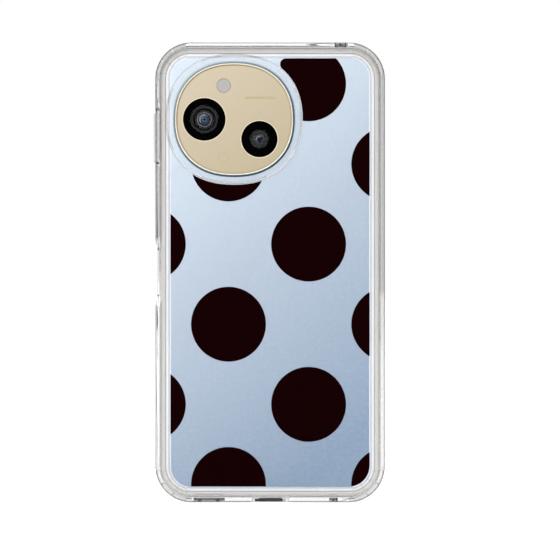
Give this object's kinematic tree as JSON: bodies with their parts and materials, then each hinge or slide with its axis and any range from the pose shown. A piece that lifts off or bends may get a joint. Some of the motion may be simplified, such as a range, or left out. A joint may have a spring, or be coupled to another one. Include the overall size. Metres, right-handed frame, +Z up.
{
  "type": "smartphone in a clear polka-dot phone cover",
  "caption": "Smartphone in a clear hard-backed cover with large black dots, a raised rim round a golden camera island and open windows for keys and ports.",
  "frame": {"origin": "middle of the footprint, on the surface that the cover stands on with its lower edge down", "axes": "+Z up along the phone's length, X across its width, -Y out of the camera side and +Y out of the display"},
  "size_m": [0.077, 0.0126, 0.153],
  "materials": {
    "soft_clear": "soft clear elastomer, glossy outside",
    "hard_clear": "hard clear sheet, polished",
    "dot_ink": "black printed ink, satin",
    "frame_metal": "satin",
    "blue_metal": "satin anodised",
    "blue_back": "satin pale blue with a fine sparkle",
    "gold_plate": "satin golden, brushed radially",
    "gold_trim": "polished pale gold",
    "screen_glass": "polished dark glass",
    "screen_panel": "dark display layers",
    "black_gloss": "glossy black",
    "dark_grey": "satin dark grey",
    "camera_glass": "polished camera window",
    "lens_glass": "coated lens",
    "lamp_lens": "milky diffuser",
    "flex_circuit": "amber flexible circuit",
    "circuit_board": "solder-masked board",
    "steel": "brushed",
    "battery_foil": "dark laminate foil over a pouch cell",
    "coil_copper": "copper winding on a film",
    "graphite": "dull graphite film"
  },
  "bodies": {
    "cover": {"cover_bumper": "soft_clear", "cover_back_plate": "hard_clear", "ink_dot_1": "dot_ink", "ink_dot_2": "dot_ink", "ink_dot_3": "dot_ink", "ink_dot_4": "dot_ink", "ink_dot_5": "dot_ink", "ink_dot_6": "dot_ink", "ink_dot_7": "dot_ink", "ink_dot_8": "dot_ink", "ink_dot_9": "dot_ink", "ink_dot_10": "dot_ink", "ink_dot_11": "dot_ink"},
    "volume_pad": {"cover_volume_pad": "soft_clear"},
    "phone": {"phone_frame": "frame_metal", "back_shell": "blue_back", "island_plate": "gold_plate", "island_trim": "gold_trim", "display_glass": "screen_glass", "display_panel": "screen_panel", "earpiece_mesh": "dark_grey", "wide_lens_bezel": "black_gloss", "wide_cover_glass": "camera_glass", "wide_camera_housing": "dark_grey", "wide_image_sensor": "circuit_board", "ultrawide_lens_bezel": "black_gloss", "ultrawide_cover_glass": "camera_glass", "ultrawide_camera_housing": "dark_grey", "ultrawide_image_sensor": "circuit_board", "flash_lens": "lamp_lens", "flash_led": "flex_circuit", "front_camera": "black_gloss", "mainboard": "circuit_board", "shield_can": "steel", "sim_tray": "frame_metal", "sim_reader": "steel", "battery": "battery_foil", "sub_board": "circuit_board", "charging_port": "steel", "main_flex": "flex_circuit", "contactless_coil": "coil_copper", "graphite_sheet": "graphite", "loudspeaker": "black_gloss", "earpiece": "dark_grey", "lower_microphone": "steel", "upper_microphone": "steel", "haptic_motor_can": "steel", "power_key_switch": "flex_circuit", "volume_key_switches": "flex_circuit", "board_screw_1": "steel", "board_screw_2": "steel", "board_screw_3": "steel", "board_screw_4": "steel"},
    "volume_key": {"volume_key": "blue_metal"},
    "power_key": {"power_key": "frame_metal"},
    "wide_lens": {"wide_lens_barrel": "dark_grey", "wide_front_lens": "lens_glass"},
    "ultrawide_lens": {"ultrawide_lens_barrel": "dark_grey", "ultrawide_front_lens": "lens_glass"},
    "haptic_mass": {"haptic_motor_mass": "steel"}
  },
  "joints": [
    {"name": "phone_out", "type": "slide", "parent": "cover", "child": "phone", "axis": [0, 1, 0], "range_m": [0, 0.03]},
    {"name": "volume_key_rock", "type": "hinge", "parent": "phone", "child": "volume_key", "pos_m": [-0.0352, 0.001, 0.12185], "axis": [0, 1, 0], "range_deg": [-1.5, 1.5], "stiffness_Nm_per_rad": 0.02},
    {"name": "volume_pad_rock", "type": "hinge", "parent": "cover", "child": "volume_pad", "pos_m": [-0.0379, 0.001, 0.12185], "axis": [0, 1, 0], "range_deg": [-1.5, 1.5]},
    {"name": "power_key_press", "type": "slide", "parent": "phone", "child": "power_key", "axis": [1, 0, 0], "range_m": [0, 0.0003], "stiffness_N_per_m": 6000},
    {"name": "wide_focus", "type": "slide", "parent": "phone", "child": "wide_lens", "axis": [0, -1, 0], "range_m": [0, 0.0003]},
    {"name": "ultrawide_focus", "type": "slide", "parent": "phone", "child": "ultrawide_lens", "axis": [0, -1, 0], "range_m": [0, 0.00025]},
    {"name": "haptic_mass_slide", "type": "slide", "parent": "phone", "child": "haptic_mass", "axis": [1, 0, 0], "range_m": [-0.0005, 0.0005], "stiffness_N_per_m": 2000}
  ],
  "couplings": [
    {"joint": "volume_pad_rock", "follows": "volume_key_rock", "ratio": 1}
  ]
}
